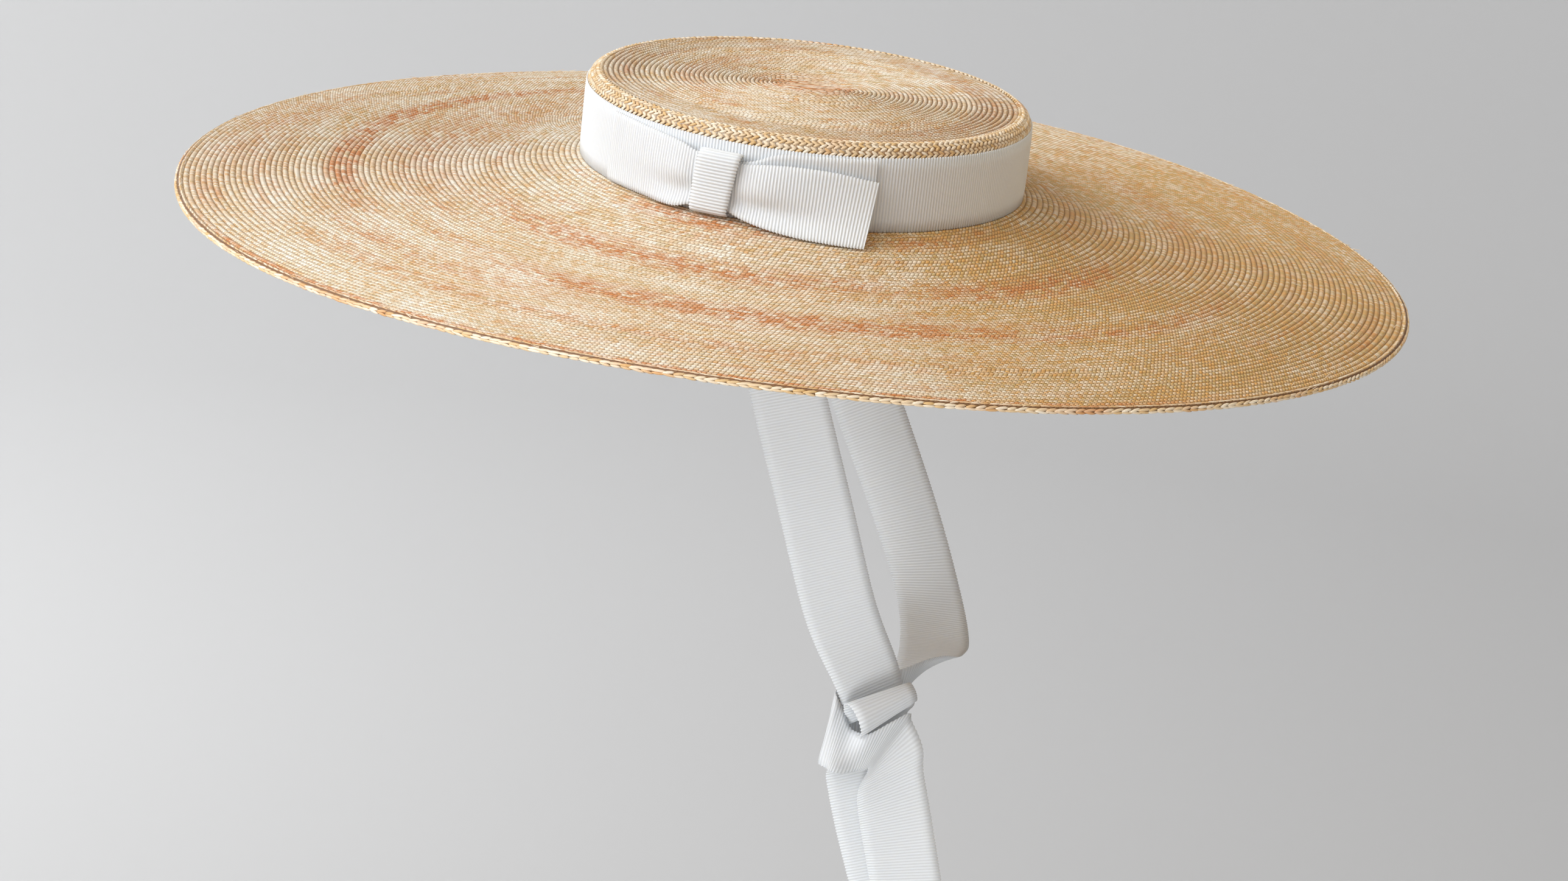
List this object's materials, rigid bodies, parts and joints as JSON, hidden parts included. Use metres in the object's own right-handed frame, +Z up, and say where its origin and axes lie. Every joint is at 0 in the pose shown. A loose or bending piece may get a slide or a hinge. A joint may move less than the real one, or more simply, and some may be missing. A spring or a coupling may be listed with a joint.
{
  "type": "straw boater hat with chin ribbons",
  "caption": "Wide-brimmed boater of sewn straw braid with a shallow round crown, a white grosgrain band with a flat bow at the side, and chin ribbons tied in a half knot.",
  "frame": {"origin": "middle of the head opening, level with the foot of the crown, where a head holds the hat", "axes": "+Z up along the crown's axis, +X to the hat's front, -Y to the wearer's right, the side of the bow and of the knot"},
  "size_m": [0.5, 0.5, 0.3314],
  "materials": {
    "straw": "matt plaited straw braid",
    "ribbon": "matt ribbed grosgrain"
  },
  "bodies": {
    "root": {"crown": "straw", "brim": "straw", "hat_band": "ribbon", "bow_left_loop": "ribbon", "bow_right_loop": "ribbon", "bow_tail": "ribbon", "bow_wrap": "ribbon", "chin_ribbon_right": "ribbon", "chin_ribbon_left": "ribbon"}
  },
  "joints": []
}
